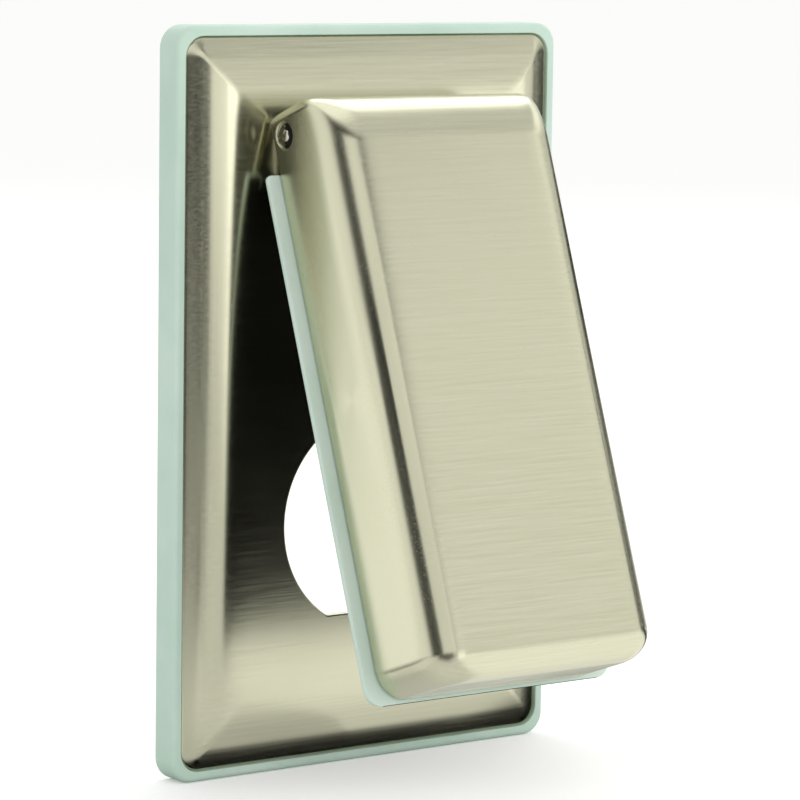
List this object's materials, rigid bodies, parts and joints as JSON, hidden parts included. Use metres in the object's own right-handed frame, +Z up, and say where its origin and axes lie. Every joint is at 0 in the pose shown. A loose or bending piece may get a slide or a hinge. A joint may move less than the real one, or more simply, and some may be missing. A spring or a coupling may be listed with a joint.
{
  "type": "lift-lid outlet cover",
  "caption": "Weatherproof cover for a pair of outlets: dished brushed-steel plate on a rubber wall gasket, with a sealed steel lid hinged at the top.",
  "frame": {"origin": "on the fixing screw's axis, at the middle of the cover, in the plane of the wall face", "axes": "+X right as seen from the front, +Y into the wall along the fixing screw, +Z up, with the hinge at the top"},
  "size_m": [0.0732, 0.0587, 0.1178],
  "materials": {
    "wall_gasket_rubber": "pale moulded rubber, matt",
    "plate_brushed_steel": "brushed across the width, satin",
    "bracket_steel": "plain rolled sheet",
    "rivet_steel": "bright, lightly worn",
    "screw_steel": "bright turned",
    "lid_brushed_steel": "brushed across the width, satin",
    "lid_seal_rubber": "pale moulded rubber, matt",
    "pin_steel": "bright drawn",
    "washer_nylon": "natural nylon, satin"
  },
  "bodies": {
    "cover": {"base_gasket": "wall_gasket_rubber", "cover_plate": "plate_brushed_steel", "hinge_bracket": "bracket_steel", "bracket_rivet_left": "rivet_steel", "bracket_rivet_right": "rivet_steel", "plate_screw": "screw_steel"},
    "lid": {"lid_shell": "lid_brushed_steel", "lid_gasket": "lid_seal_rubber", "hinge_pin": "pin_steel", "friction_washer_left": "washer_nylon", "friction_washer_right": "washer_nylon"}
  },
  "joints": [
    {"name": "lid_hinge", "type": "hinge", "parent": "cover", "child": "lid", "pos_m": [0, -0.01185, 0.0422], "axis": [-1, 0, 0], "range_deg": [-20, 70]}
  ]
}
